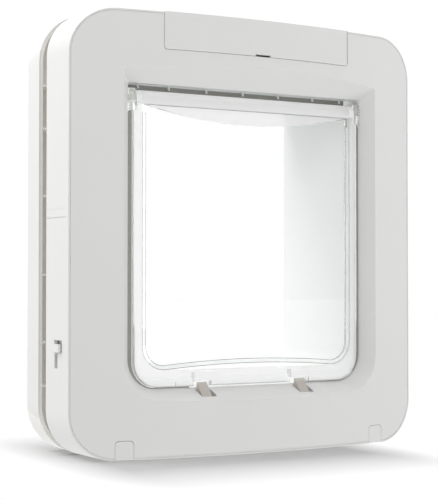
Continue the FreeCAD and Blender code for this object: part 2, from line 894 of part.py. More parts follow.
def latch_cam():
    """Spiral cam: its radius grows evenly over a quarter turn, so the bar rises in step with it."""
    x0 = -cam_t / 2.0
    peak = cam_base_r + latch_lift

    def spot(radius, degrees):
        angle = math.radians(degrees)
        return Vector(x0, latch_y + radius * math.cos(angle), cam_z + radius * math.sin(angle))

    steps = 6
    rise = [spot(cam_base_r + latch_lift * i / steps, 90.0 - 90.0 * i / steps) for i in range(steps + 1)]
    spiral = Part.BSplineCurve()
    spiral.interpolate(rise)
    dwell_end = spot(peak, -20.0)
    fall_end = spot(cam_base_r, -60.0)
    edges = [
        spiral.toShape(),
        Part.Arc(rise[-1], spot(peak, -10.0), dwell_end).toShape(),
        Part.makeLine(dwell_end, fall_end),
        Part.Arc(fall_end, spot(cam_base_r, -165.0), rise[0]).toShape(),
    ]
    disc = Part.Face(Part.Wire(edges)).extrude(Vector(cam_t, 0, 0))
    shaft = bar_x(cam_shaft_r, latch_y, cam_z, x0, gearbox_x + cam_shaft_len)
    return disc.fuse(shaft).removeSplitter()


def latch_motor():
    half = gearbox_high / 2.0
    gearbox = box(gearbox_x, gearbox_x + gearbox_long, latch_y - half, latch_y + half, cam_z - half, cam_z + half)
    can_start = gearbox_x + gearbox_long
    can = bar_x(motor_r, latch_y, cam_z, can_start, can_start + motor_long)
    bore = bar_x(cam_shaft_r + running, latch_y, cam_z, gearbox_x - overrun,
                 gearbox_x + cam_shaft_len + follower_gap)
    return gearbox.fuse(can).cut(bore).removeSplitter()


def cell_centre(row):
    """Axis of a row of cells, as (y, z)."""
    return cell_row_front + row * cell_row_pitch, tray_floor + cell_r + cell_lift


def battery_cell(row, place):
    """One cell; the cells of the two rows point opposite ways."""
    y, z = cell_centre(row)
    x0 = cell_gap / 2.0 if place else -cell_gap / 2.0 - cell_len
    can_end = x0 + cell_len - cell_nub
    cell = bar_x(cell_r, y, z, x0, can_end).fuse(bar_x(cell_nub_r, y, z, can_end, x0 + cell_len))
    if row:
        cell = cell.mirror(Vector(x0 + cell_len / 2.0, 0, 0), X_AXIS)
    return cell


def battery_tray():
    outside = tray_outside
    y0 = tray_front
    y1 = tray_front + tray_deep
    under = tray_floor - tray_t
    top = tray_floor + tray_side_high
    walls = [
        box(-outside, outside, y1 - tray_t, y1, under, top),
        box(-outside, outside, y0, y0 + tray_t, under, tray_floor + tray_front_high),
    ]
    for side in (-1.0, 1.0):
        x0, x1 = sorted((side * tray_end, side * outside))
        walls.append(box(x0, x1, y0, plate_front - seat_gap, under, top))
    rest_y = button_y + button_long + button_travel + touch
    margin = button_half + overrun
    walls.append(box(button_x - margin, -tray_end, rest_y, rest_y + guide_plate_t, button_z - margin,
                     button_z + margin))
    for x in (-cell_len / 2.0, cell_len / 2.0):
        walls.append(box(x - saddle_t / 2.0, x + saddle_t / 2.0, y0 + tray_t, y1 - tray_t, tray_floor - touch,
                         tray_floor + saddle_high))
    floor = box(-outside, outside, y0, y1, under, tray_floor)
    hollows = [post(button_stem_half + running, button_x, button_z, button_y, board_y)]
    for row in (0, 1):
        y, z = cell_centre(row)
        hollows.append(bar_x(cell_r + seat_gap, y, z, -tray_end, tray_end))
    return floor.fuse(walls).cut(hollows).removeSplitter()


def contact(side, rows):
    """Sprung strip at the end of the tray, with a folded finger for each row that it serves."""
    root = side * (tray_end - touch)
    face = side * (tray_end - touch - contact_t)
    nose = side * (cell_gap / 2.0 + cell_len)
    centres = [cell_centre(row) for row in rows]
    z = centres[0][1]
    ys = [y for y, _ in centres]
    x0, x1 = sorted((root, face))
    strip = box(x0, x1, min(ys) - contact_wide / 2.0, max(ys) + contact_wide / 2.0, z - contact_wide / 2.0,
                tray_floor + tray_side_high)
    fingers = []
    for y in ys:
        points = [
            Vector(face, y - contact_dome, z - contact_dome),
            Vector(face, y - contact_dome, z + contact_dome),
            Vector(nose, y - contact_dome, z),
        ]
        fold = Part.Face(Part.makePolygon(points + points[:1]))
        fingers.append(fold.extrude(Vector(0, 2.0 * contact_dome, 0)))
    return strip.fuse(fingers).removeSplitter()


def circuit_board():
    return box(board_left, board_right, board_y, board_y + board_t, board_low, board_low + board_high)


def board_parts():
    """Plug socket, chip and crystal soldered on the board, in a row from its outer end."""
    z = board_low + board_high / 2.0
    x = board_left + part_pitch / 2.0
    parts = []
    sizes = (
        (socket_wide, socket_high, socket_t),
        (chip_side, chip_side, chip_t),
        (crystal_long, crystal_high, crystal_t),
    )
    for wide, high, deep in sizes:
        parts.append(box(x, x + wide, board_y - deep, board_y, z - high / 2.0, z + high / 2.0))
        x += wide + part_pitch
    return Part.makeCompound(parts)


def tact_switch():
    half = switch_size / 2.0
    return box(button_x - half, button_x + half, board_y - switch_t, board_y, button_z - half, button_z + half)


def learn_button():
    cap = post(button_half, button_x, button_z, button_y, button_y + button_long)
    end = board_y - switch_t - button_travel - touch
    stem = post(button_stem_half, button_x, button_z, button_y + button_long, end)
    return cap.fuse(stem).removeSplitter()


def reader_coil():
    outer = tunnel_section(tunnel_wall + seam + coil_t, coil_y, coil_y + coil_deep)
    inner = tunnel_section(tunnel_wall + seam, coil_y - overrun, coil_y + coil_deep + overrun)
    return outer.cut(inner)


def lock_slider():
    """Knob outside, neck through the slot and plate inside the left side wall."""
    surface = -(half_w + draft * lock_y0)
    outer_surface = -(half_w + draft * lock_y1)
    knob_y1 = lock_slot_y1 - pin_end_gap
    knob_x = outer_surface - lock_knob_gap
    knob = box(knob_x - lock_knob_proud, knob_x, lock_knob_y0, knob_y1, lock_knob_low, lock_knob_high)
    inner_x = surface + wall + 2.0 * lock_knob_gap
    neck = box(knob_x - lock_knob_proud / 2.0, inner_x + lock_plate_t / 2.0, lock_slot_y0 + pin_end_gap, knob_y1,
               lock_knob_low, lock_knob_high)
    margin = lock_plate_margin
    plate = box(inner_x, inner_x + lock_plate_t, lock_y0 - margin, lock_y1 + margin, lock_mid - margin,
                lock_top + lock_travel + margin)
    return knob.fuse([neck, plate]).removeSplitter()


def write(node, shape):
    """Write one piece, moved to the shared frame."""
    moved = shape.copy()
    moved.translate(frame_shift)
    moved.exportStep("parts/%s.step" % node)
    print(node, len(moved.Solids), moved.isValid(), round(moved.Volume / 1000.0, 2), "cm3")


write("front_housing", front_housing())
write("battery_cover", battery_cover())
write("back_plate", back_plate())
write("tunnel", tunnel())
write("rear_frame", rear_frame())
write("flap", flap())
write("reader_coil", reader_coil())
write("battery_tray", battery_tray())
write("latch_bar", latch_bar())
write("latch_cam", latch_cam())
write("latch_motor", latch_motor())
write("circuit_board", circuit_board())
write("board_parts", board_parts())
write("tact_switch", tact_switch())
write("learn_button", learn_button())
write("lock_slider", lock_slider())
write("pile_seal_top", pile_head())
for side_name, side_sign in (("left", -1.0), ("right", 1.0)):
    write("screw_cover_" + side_name, screw_cover(side_sign))
    write("hinge_block_" + side_name, hinge_block(side_sign))
    write("hinge_pin_" + side_name, hinge_pin(side_sign))
    write("pile_seal_" + side_name, pile_strip(side_sign))
    write("latch_" + side_name, latch(side_sign))
write("contact_bridge", contact(-1.0, (0, 1)))
write("contact_front", contact(1.0, (0,)))
write("contact_rear", contact(1.0, (1,)))
for index, (cell_row, cell_place) in enumerate(((0, 0), (0, 1), (1, 0), (1, 1))):
    write("battery_cell_%d" % (index + 1), battery_cell(cell_row, cell_place))
for index, (screw_x, screw_z) in enumerate(panel_fixings()):
    write("panel_screw_%d" % (index + 1), panel_screw(screw_x, screw_z))
for index, (screw_x, screw_z) in enumerate(plate_fixings()):
    write("plate_screw_%d" % (index + 1), plate_screw(screw_x, screw_z))
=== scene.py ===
# %% [markdown]
# A cat flap that reads a microchip stands on a white table. It has a satin white housing with a bulged
# face, a clear flap hanging in a deep surround, a second frame behind the gap for the door panel, and a
# tunnel through both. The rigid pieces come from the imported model. This notebook gives each of them its
# finish, adds the fine things that are too small for the solids, and lights the whole like a catalogue
# picture.

# %% Load the frame
import bpy
import json
import math
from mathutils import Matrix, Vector


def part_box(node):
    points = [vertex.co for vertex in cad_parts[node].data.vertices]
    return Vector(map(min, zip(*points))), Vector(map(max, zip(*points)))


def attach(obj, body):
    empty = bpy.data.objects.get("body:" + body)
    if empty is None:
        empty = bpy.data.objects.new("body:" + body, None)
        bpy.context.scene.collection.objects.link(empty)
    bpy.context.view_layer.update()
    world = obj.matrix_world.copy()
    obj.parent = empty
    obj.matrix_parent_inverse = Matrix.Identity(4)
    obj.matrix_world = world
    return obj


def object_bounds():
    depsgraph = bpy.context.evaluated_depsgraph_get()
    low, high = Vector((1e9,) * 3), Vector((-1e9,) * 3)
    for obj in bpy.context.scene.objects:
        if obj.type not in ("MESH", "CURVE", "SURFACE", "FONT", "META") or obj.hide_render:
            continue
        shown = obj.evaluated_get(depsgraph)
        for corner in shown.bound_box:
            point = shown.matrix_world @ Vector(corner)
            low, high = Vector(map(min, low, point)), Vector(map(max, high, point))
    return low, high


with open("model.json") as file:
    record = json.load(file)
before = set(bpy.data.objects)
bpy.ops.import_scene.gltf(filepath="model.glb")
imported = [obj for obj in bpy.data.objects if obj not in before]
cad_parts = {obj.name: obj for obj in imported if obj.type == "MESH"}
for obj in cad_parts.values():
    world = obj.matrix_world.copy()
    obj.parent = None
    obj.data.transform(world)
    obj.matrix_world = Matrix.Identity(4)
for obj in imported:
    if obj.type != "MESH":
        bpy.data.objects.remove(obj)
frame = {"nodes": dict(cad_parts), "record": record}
cad_low, cad_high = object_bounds()
print("nodes", len(frame["nodes"]), "box", [round(v, 4) for v in cad_high - cad_low])

# %% [markdown]
# Sizes in this notebook are metres. The model's origin is the middle of its footprint, +X is to the right
# along the face and +Y goes from the face through the door panel. Most places are read from the boxes of
# the solids, so that the notebook follows the model when it changes.

# %% Places read from the solids
MM = 0.001
housing_low, housing_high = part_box("front_housing")
flap_low, flap_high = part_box("flap")
print("face width", round(housing_high.x - housing_low.x, 4))

# %% [markdown]
# Long sums of Math nodes are hard to read and to mend. Here a small class wraps the socket of a node, so
# that `a * 0.5 + b` adds the Math nodes by itself. The reflected forms let a number come first, as in
# `1 - mask`. Everything that isn't arithmetic comes from one method, which takes the type of the node, its
# settings and what goes into its sockets.

# %% Shader helpers


class Socket:
    """One output of a node, which can be used in sums."""

    def __init__(self, finish, link):
        self.finish = finish
        self.link = link

    def _math(self, operation, *values):
        return self.finish.node("ShaderNodeMath", {"operation": operation}, dict(enumerate(values)))

    def __add__(self, other):
        return self._math("ADD", self, other)

    __radd__ = __add__

    def __mul__(self, other):
        return self._math("MULTIPLY", self, other)

    __rmul__ = __mul__

    def __sub__(self, other):
        return self._math("SUBTRACT", self, other)

    def __rsub__(self, other):
        return self._math("SUBTRACT", other, self)

    def power(self, exponent):
        return self._math("POWER", self, exponent)

    def clamped(self, low, high):
        return self.finish.node("ShaderNodeClamp", {}, {"Value": self, "Min": low, "Max": high})

    def beyond(self, limit):
        """How far the value lies outside plus or minus the limit, or 0 inside it."""
        return self._math("MAXIMUM", self._math("ABSOLUTE", self) - limit, 0.0)


class Finish:
    """A material, or the world, whose nodes are made one at a time."""

    def __init__(self, name, owner=None):
        self.owner = owner or bpy.data.materials.new(name)
        self.owner.use_nodes = True
        self.tree = self.owner.node_tree
        self.tree.nodes.clear()

    def node(self, kind, settings, inputs, output=0):
        """Add a node: its settings first, then the values or links of its sockets."""
        made = self.tree.nodes.new(kind)
        for key, value in settings.items():
            setattr(made, key, value)
        for key, value in inputs.items():
            if isinstance(value, Socket):
                self.tree.links.new(value.link, made.inputs[key])
            else:
                made.inputs[key].default_value = value
        return None if output is None else Socket(self, made.outputs[output])

    def place(self):
        """Position on the object, in metres."""
        return self.node("ShaderNodeTexCoord", {}, {}, "Object")

    def along(self, axis, vector=None):
        """One coordinate, X, Y or Z, of a vector or of the position on the object."""
        return self.node("ShaderNodeSeparateXYZ", {}, {0: vector or self.place()}, axis)

    def noise(self, scale, detail, vector=None):
        """Soft irregular value from 0 to 1; the scale is in patches per metre."""
        inputs = {"Vector": vector or self.place(), "Scale": scale, "Detail": detail, "Roughness": 0.5}
        return self.node("ShaderNodeTexNoise", {}, inputs, "Fac")

    def mix(self, factor, first, second):
        """Blend of two colours."""
        settings = {"data_type": "RGBA"}
        return self.node("ShaderNodeMix", settings, {0: factor, 6: first, 7: second}, 2)

    def bump(self, height, distance, strength):
        """Small relief; the distance is in metres."""
        inputs = {"Height": height, "Distance": distance, "Strength": strength}
        return self.node("ShaderNodeBump", {}, inputs, "Normal")

    def seen(self):
        """1 for what the camera sees, straight or through glass, and 0 for all other light."""
        straight = self.node("ShaderNodeLightPath", {}, {}, "Is Camera Ray")
        through_glass = self.node("ShaderNodeLightPath", {}, {}, "Is Transmission Ray")
        return (straight + through_glass).clamped(0.0, 1.0)

    def close(self, shader, kind="ShaderNodeOutputMaterial"):
        """Send the shader to the surface."""
        self.node(kind, {}, {"Surface": shader}, None)
        return self.owner


def tone(red, green=None, blue=None):
    """Linear colour from the 0 to 255 values that a picture shows."""
    values = (red, red if green is None else green, red if blue is None else blue)
    linear = []
    for value in values:
        share = value / 255.0
        linear.append(share / 12.92 if share <= 0.04045 else ((share + 0.055) / 1.055) ** 2.4)
    return (*linear, 1.0)


def added(name, data):
    """New object in the scene, made from a mesh, a curve, a lamp or a camera."""
    made = bpy.data.objects.new(name, data)
    bpy.context.scene.collection.objects.link(made)
    return made


WHITE = (1.0, 1.0, 1.0, 1.0)
print("helpers ready")

# %% [markdown]
# The housing is moulded ABS with a satin surface. A plain colour would look like a drawing, so the gloss
# varies a little over patches of a few centimetres, and a very fine orange-peel relief breaks the highlights,
# as it does on the real moulding. The colour itself hardly changes: a new white moulding is even. The thin
# walls of the rear tray let a little of the backdrop's light through, and so its inside isn't dark in the
# picture. A faint warm glow inside the tray's box stands for that; only the shell has it.

# %% White mouldings
PATCH_SCALE = 28.0
PEEL_SCALE = 900.0
PEEL_DEEP = 0.02 * MM
PEEL_STRENGTH = 0.35
GLOSS_SPREAD = 0.06
COAT_ROUGHNESS = 0.12
TRAY_LOW = Vector((-132.0, -2.0, 2.0)) * MM
TRAY_HIGH = Vector((132.0, 23.5, 281.5)) * MM
TRAY_GLOW = 0.075
TRAY_SHARP = 4000.0
WARM_LIGHT = (1.0, 0.95, 0.74, 1.0)
NO_LIGHT = (0.0, 0.0, 0.0, 1.0)


def white_moulding(name, shade, roughness, coat, specular=0.45, glow=0.0):
    """Satin white plastic, with a warm glow inside the rear tray where one is asked for."""
    finish = Finish(name)
    patches = finish.noise(PATCH_SCALE, 3.0)
    peel_height = finish.noise(PEEL_SCALE, 2.0)
    color = finish.mix(patches, tone(*[v - 2 for v in shade]), tone(*[min(v + 1, 255) for v in shade]))
    uneven = patches * GLOSS_SPREAD + (roughness - GLOSS_SPREAD / 2.0)
    inputs = {
        "Base Color": color,
        "Roughness": uneven,
        "Coat Weight": coat,
        "Coat Roughness": COAT_ROUGHNESS,
        "Specular IOR Level": specular,
        "Normal": finish.bump(peel_height, PEEL_DEEP, PEEL_STRENGTH),
    }
    if glow > 0.0:
        inside = 1.0
        for axis, low, high in zip("XYZ", TRAY_LOW, TRAY_HIGH):
            out = (finish.along(axis) - (low + high) / 2.0).beyond((high - low) / 2.0)
            inside = inside * (1.0 - (out * TRAY_SHARP).clamped(0.0, 1.0))
        inputs["Emission Color"] = finish.mix(inside, NO_LIGHT, WARM_LIGHT)
        inputs["Emission Strength"] = glow
    return finish.close(finish.node("ShaderNodeBsdfPrincipled", {}, inputs))


white_shell = white_moulding("white_shell", (232, 232, 231), 0.5, coat=0.02, specular=0.22, glow=TRAY_GLOW)
white_tunnel = white_moulding("white_tunnel", (238, 240, 239), 0.45, coat=0.05)
white_inner = white_moulding("white_inner", (214, 214, 210), 0.5, coat=0.0)
latch_finish = white_moulding("latch_finish", (196, 190, 182), 0.42, coat=0.05)
print("white finishes", 4)

# %% [markdown]
# The flap is clear polycarbonate. It has real thickness, so light bends at its steps and rim and draws the
# bright and dark lines by which one sees it at all. Its shadow has to stay light, because a clear sheet
# takes hardly any light away; for shadow rays a transparent surface therefore takes its place. The
# bar along its top, the crescent under it and the frame round the window are a little milky: the bar the
# most, because the mould is frosted there. The masks come from the place on the flap, the crescent's from
# the circle of its edge and the frame's from the window's rounded corners. The clips at the hinges are of
# the same plastic, a shade darker and without the haze.

# %% Clear flap
BAR_BOTTOM = 224.8 * MM
WINDOW_HALF = 77.35 * MM
WINDOW_LOW = 57.7 * MM
WINDOW_LOW_R = 13.0 * MM
WINDOW_STEP = 2.65 * MM
CRESCENT_DROP = 9.4 * MM
BAR_HAZE = 0.7
CRESCENT_HAZE = 0.42
RIM_HAZE = 0.36
HAZE_SHARP = 1500.0
CRESCENT_SHARP = 3000.0
RIPPLE_SCALE = 260.0
RIPPLE_DEEP = 0.01 * MM


def flap_haze(finish):
    """How milky the flap is at each place: its bar, crescent and rim."""
    radius = (WINDOW_HALF * WINDOW_HALF + CRESCENT_DROP * CRESCENT_DROP) / (2.0 * CRESCENT_DROP)
    centre = (0.0, 0.0, BAR_BOTTOM - CRESCENT_DROP + radius)
    face_plane = {0: finish.place(), 1: (1.0, 0.0, 1.0)}
    flat = finish.node("ShaderNodeVectorMath", {"operation": "MULTIPLY"}, face_plane)
    reach = finish.node("ShaderNodeVectorMath", {"operation": "DISTANCE"}, {0: flat, 1: centre}, "Value")
    in_crescent = ((radius - reach) * CRESCENT_SHARP).clamped(0.0, 1.0)
    height = finish.along("Z")
    in_bar = ((height - BAR_BOTTOM) * HAZE_SHARP).clamped(0.0, 1.0)
    corner = WINDOW_LOW_R + WINDOW_STEP
    across = finish.along("X").beyond(WINDOW_HALF - WINDOW_LOW_R)
    under = (WINDOW_LOW + WINDOW_LOW_R - height).clamped(0.0, 1.0)
    from_corner = (across * across + under * under).power(0.5)
    in_rim = ((from_corner - corner) * HAZE_SHARP).clamped(0.0, 1.0)
    return in_rim * RIM_HAZE + in_crescent * CRESCENT_HAZE + in_bar * (BAR_HAZE - CRESCENT_HAZE)


def clear_moulding(name, roughness, tint, haze=None):
    """Clear plastic with real refraction and a light shadow, and milky where the haze function says so."""
    finish = Finish(name)
    ripple = finish.noise(RIPPLE_SCALE, 1.0)
    inputs = {
        "Base Color": tint,
        "Roughness": roughness,
        "IOR": 1.49,
        "Transmission Weight": 1.0,
        "Normal": finish.bump(ripple, RIPPLE_DEEP, 0.2),
    }
    solid = finish.node("ShaderNodeBsdfPrincipled", {}, inputs)
    if haze:
        milky = finish.node("ShaderNodeBsdfPrincipled", {}, {"Base Color": tone(250), "Roughness": 0.4})
        solid = finish.node("ShaderNodeMixShader", {}, {0: haze(finish), 1: solid, 2: milky})
    passing = finish.node("ShaderNodeBsdfTransparent", {}, {"Color": (0.94, 0.94, 0.94, 1.0)})
    shadow = finish.node("ShaderNodeLightPath", {}, {}, "Is Shadow Ray")
    return finish.close(finish.node("ShaderNodeMixShader", {}, {0: shadow, 1: solid, 2: passing}))


clear_flap = clear_moulding("clear_flap", 0.01, (0.998, 1.0, 0.999, 1.0), flap_haze)
clear_clip = clear_moulding("clear_clip", 0.02, (0.93, 0.94, 0.93, 1.0))
print("clear finishes", 2)

# %% [markdown]
# The rest is small: brush pile, plated steel, a green board and the cells. They are hardly seen, but each
# one is finished as what it is, because someone may open the cover or look through the gap.

# %% Small finishes


def brush_pile(name):
    """Grey nylon pile, streaked along its bristles."""
    finish = Finish(name)
    where = finish.node("ShaderNodeMapping", {}, {"Vector": finish.place(), "Scale": (1.0, 0.15, 1.0)})
    strands = finish.noise(2600.0, 2.0, vector=where)
    color = finish.mix(strands, tone(104, 103, 98), tone(196, 195, 190))
    inputs = {
        "Base Color": color,
        "Roughness": 0.9,
        "Specular IOR Level": 0.1,
        "Normal": finish.bump(strands, 0.0003, 0.8),
    }
    return finish.close(finish.node("ShaderNodeBsdfPrincipled", {}, inputs))


def plated(name, color, roughness):
    """Plated steel with fine scratches."""
    finish = Finish(name)
    scratches = finish.noise(1400.0, 3.0)
    inputs = {
        "Base Color": color,
        "Metallic": 1.0,
        "Roughness": scratches * 0.15 + (roughness - 0.07),
        "Normal": finish.bump(scratches, 0.00001, 0.3),
    }
    return finish.close(finish.node("ShaderNodeBsdfPrincipled", {}, inputs))


def plain_moulding(name, first, second, roughness, scale=120.0):
    """Dull moulded or laminated surface in two close shades."""
    finish = Finish(name)
    patches = finish.noise(scale, 3.0)
    inputs = {
        "Base Color": finish.mix(patches, first, second),
        "Roughness": patches * 0.1 + (roughness - 0.05),
        "Normal": finish.bump(patches, 0.00003, 0.4),
    }
    return finish.close(finish.node("ShaderNodeBsdfPrincipled", {}, inputs))


pile_finish = brush_pile("pile_finish")
steel_finish = plated("steel_finish", (0.62, 0.62, 0.63, 1.0), 0.3)
contact_finish = plated("contact_finish", (0.78, 0.77, 0.72, 1.0), 0.22)
board_finish = plain_moulding("board_finish", tone(22, 92, 52), tone(30, 110, 62), 0.4)
chip_finish = plain_moulding("chip_finish", tone(28), tone(36), 0.5, 400.0)
coil_finish = plain_moulding("coil_finish", tone(150, 88, 44), tone(176, 108, 58), 0.45, 300.0)
cell_finish = plain_moulding("cell_finish", tone(52, 54, 58), tone(60, 62, 66), 0.35)
button_finish = plain_moulding("button_finish", tone(96, 100, 108), tone(104, 108, 116), 0.45)
print("small finishes", 8)

# %% [markdown]
# Every solid gets the finish of its slot in the record. The shapes are the model's own and aren't touched.

# %% Finishes on the solids
FINISH_OF_SLOT = {
    "white_shell": white_shell,
    "white_tunnel": white_tunnel,
    "white_inner": white_inner,
    "clear_flap": clear_flap,
    "latch": latch_finish,
    "coil": coil_finish,
    "motor": steel_finish,
    "board": board_finish,
    "chips": chip_finish,
    "button": button_finish,
    "pile": pile_finish,
    "pin_steel": steel_finish,
    "screw_steel": steel_finish,
    "contact_metal": contact_finish,
    "cell_jacket": cell_finish,
}
for subpart in frame["record"]["subparts"]:
    node_object = frame["nodes"][subpart["node"]]
    node_object.data.materials.clear()
    node_object.data.materials.append(FINISH_OF_SLOT[subpart["material_slot"]])

# %% [markdown]
# The floor and the backdrop are white in the picture, and still the object has a soft shadow round its
# foot. The floor is therefore a real surface near the object, a little grey so that the lamps' shadow shows,
# and this grey is painted shade round the foot, which fades into plain white within a hand's width of it.
# The painted shade is moved a little to the left and to the front and ends sooner at its sides, because that
# is how the shadow lies in the picture. For all other light the floor is an even white table that glows by
# itself.

# %% Floor
FLOOR_REACH = 6.0
FLOOR_GAP = 0.0002
FADE_WIDE = 0.08
FADE_SHIFT = (0.026, 0.03, 0.0)
FADE_INSET = 0.048
END_QUICKER = 2.3
TABLE_GLOW = 0.95

floor_mesh = bpy.data.meshes.new("floor")
floor_z = cad_low.z - FLOOR_GAP
floor_corners = []
for x, y in ((-1, -1), (1, -1), (1, 1), (-1, 1)):
    floor_corners.append((x * FLOOR_REACH, y * FLOOR_REACH, floor_z))
floor_mesh.from_pydata(floor_corners, [], [(0, 1, 2, 3)])
floor = added("floor", floor_mesh)


def white_floor(name):
    """Glowing white table, which the camera sees grey with painted shade near the foot and plain white
    further out.
    """
    finish = Finish(name)
    table = finish.node("ShaderNodeEmission", {}, {"Color": WHITE, "Strength": TABLE_GLOW})
    # Painted shade: grey diffuse floor round the foot, on which the real cast shadow also falls; further out
    # it fades into plain white.
    near = finish.node("ShaderNodeBsdfDiffuse", {}, {"Color": tone(192)})
    blank = finish.node("ShaderNodeEmission", {}, {"Color": WHITE, "Strength": 1.0})
    place = finish.node("ShaderNodeVectorMath", {"operation": "ADD"}, {0: finish.place(), 1: FADE_SHIFT})
    beside = finish.along("X", place).beyond(cad_high.x - FADE_INSET) * END_QUICKER
    before = finish.along("Y", place).beyond(cad_high.y)
    away = (beside * beside + before * before).power(0.5)
    painted_shade_fade = (away * (1.0 / FADE_WIDE)).clamped(0.0, 1.0)
    painted_shade_floor = finish.node("ShaderNodeMixShader", {}, {0: painted_shade_fade, 1: near, 2: blank})
    return finish.close(finish.node("ShaderNodeMixShader", {}, {0: finish.seen(), 1: table, 2: painted_shade_floor}))


floor_mesh.materials.append(white_floor("floor_finish"))
print("floor at", round(floor_z, 4))

# %% [markdown]
# Some edges are too fine for the solids and still show as thin grey lines of shade: in the seam at the
# cover's edge, and where the bending of light darkens the flap's steps and edges. Each line is a bead of
# painted shade, a third of a millimetre thick, which rides on the piece whose edge it marks. A flat arc
# through three points gives the rounded corners.

# %% Drawing a fine line
LINE_R = 0.17 * MM
CORNER_STEPS = 16


def arc_through(first, middle, last, steps=CORNER_STEPS):
    """Points of a flat arc, given as (x, z), from its first point to just before its last one."""
    (ax, az), (bx, bz), (cx, cz) = first, middle, last
    turn = 2.0 * (ax * (bz - cz) + bx * (cz - az) + cx * (az - bz))
    a2, b2, c2 = ax * ax + az * az, bx * bx + bz * bz, cx * cx + cz * cz
    mid_x = (a2 * (bz - cz) + b2 * (cz - az) + c2 * (az - bz)) / turn
    mid_z = (a2 * (cx - bx) + b2 * (ax - cx) + c2 * (bx - ax)) / turn
    radius = math.hypot(ax - mid_x, az - mid_z)
    start = math.atan2(az - mid_z, ax - mid_x)
    end = math.atan2(cz - mid_z, cx - mid_x)
    sweep = (end - start + math.pi) % (2.0 * math.pi) - math.pi
    points = []
    for step in range(steps):
        angle = start + sweep * step / steps
        points.append((mid_x + radius * math.cos(angle), mid_z + radius * math.sin(angle)))
    return points


def thin_line(name, points, body, radius=LINE_R, finish=None):
    """Thin bead of painted shade through the points, which rides on a body of the model."""
    curve = bpy.data.curves.new(name, "CURVE")
    curve.dimensions = "3D"
    curve.bevel_depth = radius
    curve.bevel_resolution = 1
    spline = curve.splines.new("POLY")
    spline.points.add(len(points) - 1)
    for point, place in zip(spline.points, points):
        point.co = (*place, 1.0)
    curve.materials.append(finish or painted_line_shade)
    line = added(name, curve)
    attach(line, body)
    return line


# Both finishes are painted shade: grey beads for the dark lines at seams and edges, the second one lighter.
painted_line_shade = plain_moulding("painted_line_shade", tone(112, 114, 112), tone(122, 124, 122), 0.5)
painted_edge_shade = plain_moulding("painted_edge_shade", tone(150, 152, 149), tone(160, 162, 159), 0.5)
print("line finishes", 2)

# %% [markdown]
# The step round the flap's window is sharp, and the light that bends there draws a pair of dark lines, one
# at its upper edge and one at its foot. Two beads paint that shade; they follow the window's sides and its
# slightly curved lower edge, and swing with the flap.

# %% Window lines
FLAP_FRONT = -41.55 * MM
WINDOW_RISE = 2.9 * MM
STEP_DEEP = 0.83 * MM
LINE_TOP = BAR_BOTTOM - 5.0 * MM
LOW_EDGE_STEPS = 40


def window_line(name, grow, depth):
    """Thin bead of painted shade along the window's outline, grown outwards and set back by so much."""
    half = WINDOW_HALF + grow
    low = WINDOW_LOW - grow
    corner = WINDOW_LOW_R + grow
    inset = corner * (1.0 - math.sqrt(0.5))
    outline = [(-half, LINE_TOP)]
    outline += arc_through((-half, low + corner), (-half + inset, low + inset), (-half + corner, low))
    lower_edge = ((-half + corner, low), (0.0, low + WINDOW_RISE), (half - corner, low))
    outline += arc_through(*lower_edge, LOW_EDGE_STEPS)
    outline += arc_through((half - corner, low), (half - inset, low + inset), (half, low + corner))
    outline += [(half, low + corner), (half, LINE_TOP)]
    points = [(x, FLAP_FRONT + depth, z) for x, z in outline]
    return thin_line(name, points, "flap")


window_lines = [
    window_line("window_line_outer", WINDOW_STEP, LINE_R),
    window_line("window_line_inner", 0.0, STEP_DEEP + LINE_R),
]
print("window lines", len(window_lines))

# %% [markdown]
# The battery cover stands a little proud of the face. A line of painted shade down its right edge stands for
# the shade in the seam where it ends, and moves with the cover.

# %% Line on the battery cover
COVER_STEPS = 24


def cover_line(name, x, low, high):
    """Thin grey bead of painted seam shade down the edge of the battery cover; the cover's mesh gives its
    depth.
    """
    cover = frame["nodes"]["battery_cover"]
    points = []
    for step in range(COVER_STEPS + 1):
        z = low + (high - low) * step / COVER_STEPS
        start = Vector((x - LINE_R, -1.0, z))
        hit, where = cover.ray_cast(start, Vector((0.0, 1.0, 0.0)))[:2]
        if hit:
            points.append((x, where.y, z))
    return thin_line(name, points, "cover")


cover_low, cover_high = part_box("battery_cover")
cover_line("cover_line", cover_high.x - LINE_R, cover_low.z + LINE_R, cover_high.z - 2.0 * LINE_R)
print("cover line from", round(cover_low.z, 4), "to", round(cover_high.z, 4))

# %% [markdown]
# The lower edge of the flap's bar shows one more dark line, painted as a bead of shade. The flap's own lower
# edge shows a thicker and lighter line of painted shade, in three parts, because it stops at the hoods over
# the two latches.

# %% Lines on the bar and the lower edge
FLAP_LOW_R = 16.5 * MM
EDGE_R = 0.3 * MM
EDGE_RISE = 40.0 * MM
HOOD_INNER = 28.6 * MM
HOOD_OUTER = 45.0 * MM


def bar_line(name):
    """Thin bead of painted shade along the lower edge of the flap's top bar."""
    points = [(x, FLAP_FRONT, BAR_BOTTOM) for x in (-WINDOW_HALF, WINDOW_HALF)]
    return thin_line(name, points, "flap")


def edge_line(name, side):
    """Thin bead of painted shade along one lower corner of the flap, up to the hood over its latch."""
    half = flap_high.x - EDGE_R
    low = flap_low.z + EDGE_R
    corner = FLAP_LOW_R - EDGE_R
    inset = corner * (1.0 - math.sqrt(0.5))
    outline = [(-half, low + EDGE_RISE)]
    outline += arc_through((-half, low + corner), (-half + inset, low + inset), (-half + corner, low))
    outline += [(-half + corner, low), (-HOOD_OUTER, low)]
    points = [(-side * x, FLAP_FRONT + EDGE_R, z) for x, z in outline]
    return thin_line(name, points, "flap", EDGE_R, painted_edge_shade)


